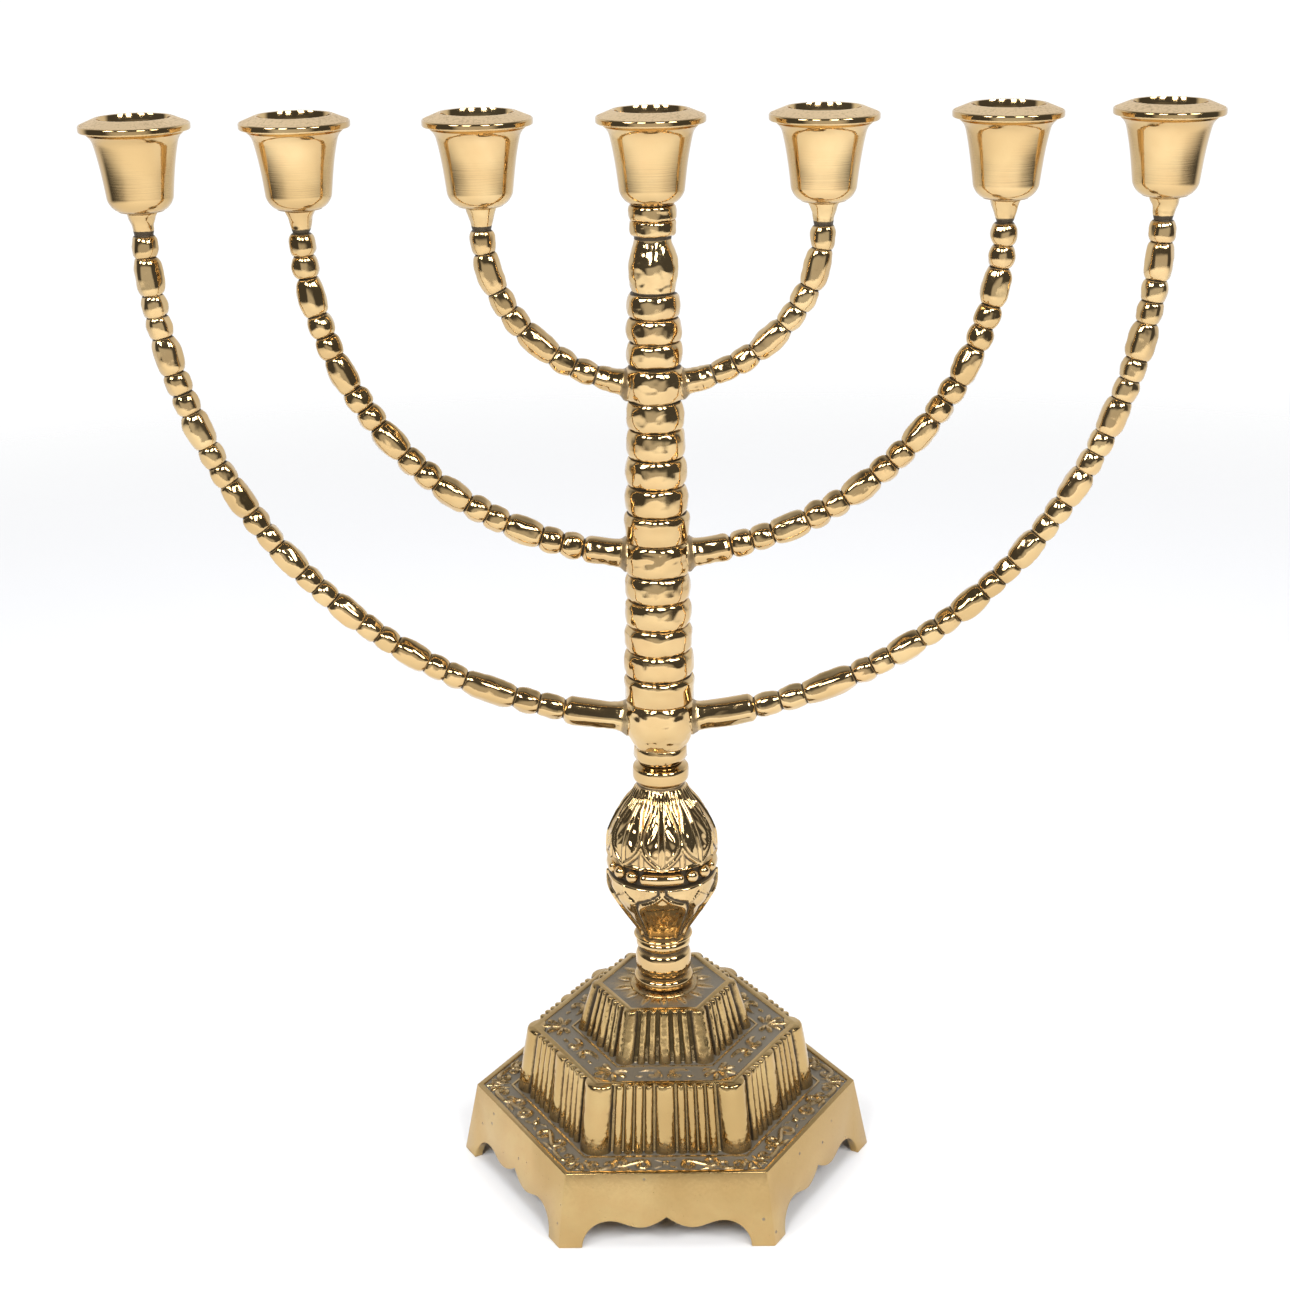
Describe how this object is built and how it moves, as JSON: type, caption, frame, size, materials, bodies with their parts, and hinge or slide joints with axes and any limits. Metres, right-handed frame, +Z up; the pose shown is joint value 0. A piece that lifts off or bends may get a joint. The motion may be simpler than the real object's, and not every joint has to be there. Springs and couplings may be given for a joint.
{
  "type": "menorah",
  "caption": "Branched brass candelabrum with nested U-shaped arms on a turned stem and a stepped hexagonal foot, holding a row of taper candles.",
  "frame": {"origin": "centre of the foot, on the surface it stands on", "axes": "+Z up along the stem; +X along the row of cups; -Y towards the front"},
  "size_m": [0.339, 0.121, 0.3529],
  "materials": {
    "base_brass": "cast, darkened in its recesses and polished on its high faces",
    "cast_brass": "cast and polished, dark patina in the grooves",
    "polished_brass": "turned and mirror polished",
    "plated_steel": "zinc plated"
  },
  "bodies": {
    "foot": {"base": "base_brass", "base_washer": "plated_steel", "base_nut": "plated_steel", "tie_rod": "plated_steel", "baluster": "cast_brass"},
    "outer_branch": {"outer_branch": "cast_brass"},
    "middle_branch": {"middle_branch": "cast_brass"},
    "inner_branch": {"inner_branch": "cast_brass"},
    "stud_1": {"stud_1": "plated_steel"},
    "cup_1": {"cup_1": "polished_brass"},
    "stud_2": {"stud_2": "plated_steel"},
    "cup_2": {"cup_2": "polished_brass"},
    "stud_3": {"stud_3": "plated_steel"},
    "cup_3": {"cup_3": "polished_brass"},
    "stud_4": {"stud_4": "plated_steel"},
    "cup_4": {"cup_4": "polished_brass"},
    "stud_5": {"stud_5": "plated_steel"},
    "cup_5": {"cup_5": "polished_brass"},
    "stud_6": {"stud_6": "plated_steel"},
    "cup_6": {"cup_6": "polished_brass"},
    "stud_7": {"stud_7": "plated_steel"},
    "cup_7": {"cup_7": "polished_brass"}
  },
  "joints": [
    {"name": "outer_swivel", "type": "hinge", "parent": "foot", "child": "outer_branch", "pos_m": [0, 0, 0.1453], "axis": [0, 0, 1], "continuous": true},
    {"name": "middle_swivel", "type": "hinge", "parent": "foot", "child": "middle_branch", "pos_m": [0, 0, 0.1667], "axis": [0, 0, 1], "continuous": true},
    {"name": "inner_swivel", "type": "hinge", "parent": "foot", "child": "inner_branch", "pos_m": [0, 0, 0.2203], "axis": [0, 0, 1], "range_deg": [-90, 90]},
    {"name": "cup_1_rise", "type": "slide", "parent": "outer_branch", "child": "stud_1", "axis": [0, 0, 1], "range_m": [0, 0.006]},
    {"name": "cup_1_turn", "type": "hinge", "parent": "stud_1", "child": "cup_1", "pos_m": [-0.153, 0, 0.3253], "axis": [0, 0, 1], "range_deg": [0, 2160]},
    {"name": "cup_2_rise", "type": "slide", "parent": "middle_branch", "child": "stud_2", "axis": [0, 0, 1], "range_m": [0, 0.006]},
    {"name": "cup_2_turn", "type": "hinge", "parent": "stud_2", "child": "cup_2", "pos_m": [-0.1055, 0, 0.3253], "axis": [0, 0, 1], "range_deg": [0, 2160]},
    {"name": "cup_3_rise", "type": "slide", "parent": "inner_branch", "child": "stud_3", "axis": [0, 0, 1], "range_m": [0, 0.006]},
    {"name": "cup_3_turn", "type": "hinge", "parent": "stud_3", "child": "cup_3", "pos_m": [-0.0513, 0, 0.3253], "axis": [0, 0, 1], "range_deg": [0, 2160]},
    {"name": "cup_4_rise", "type": "slide", "parent": "inner_branch", "child": "stud_4", "axis": [0, 0, 1], "range_m": [0, 0.006]},
    {"name": "cup_4_turn", "type": "hinge", "parent": "stud_4", "child": "cup_4", "pos_m": [0, 0, 0.3253], "axis": [0, 0, 1], "range_deg": [0, 2160]},
    {"name": "cup_5_rise", "type": "slide", "parent": "inner_branch", "child": "stud_5", "axis": [0, 0, 1], "range_m": [0, 0.006]},
    {"name": "cup_5_turn", "type": "hinge", "parent": "stud_5", "child": "cup_5", "pos_m": [0.0513, 0, 0.3253], "axis": [0, 0, 1], "range_deg": [0, 2160]},
    {"name": "cup_6_rise", "type": "slide", "parent": "middle_branch", "child": "stud_6", "axis": [0, 0, 1], "range_m": [0, 0.006]},
    {"name": "cup_6_turn", "type": "hinge", "parent": "stud_6", "child": "cup_6", "pos_m": [0.1055, 0, 0.3253], "axis": [0, 0, 1], "range_deg": [0, 2160]},
    {"name": "cup_7_rise", "type": "slide", "parent": "outer_branch", "child": "stud_7", "axis": [0, 0, 1], "range_m": [0, 0.006]},
    {"name": "cup_7_turn", "type": "hinge", "parent": "stud_7", "child": "cup_7", "pos_m": [0.153, 0, 0.3253], "axis": [0, 0, 1], "range_deg": [0, 2160]}
  ],
  "couplings": [
    {"joint": "cup_1_turn", "follows": "cup_1_rise", "rad_per_m": 6283.2},
    {"joint": "cup_2_turn", "follows": "cup_2_rise", "rad_per_m": 6283.2},
    {"joint": "cup_3_turn", "follows": "cup_3_rise", "rad_per_m": 6283.2},
    {"joint": "cup_4_turn", "follows": "cup_4_rise", "rad_per_m": 6283.2},
    {"joint": "cup_5_turn", "follows": "cup_5_rise", "rad_per_m": 6283.2},
    {"joint": "cup_6_turn", "follows": "cup_6_rise", "rad_per_m": 6283.2},
    {"joint": "cup_7_turn", "follows": "cup_7_rise", "rad_per_m": 6283.2}
  ]
}
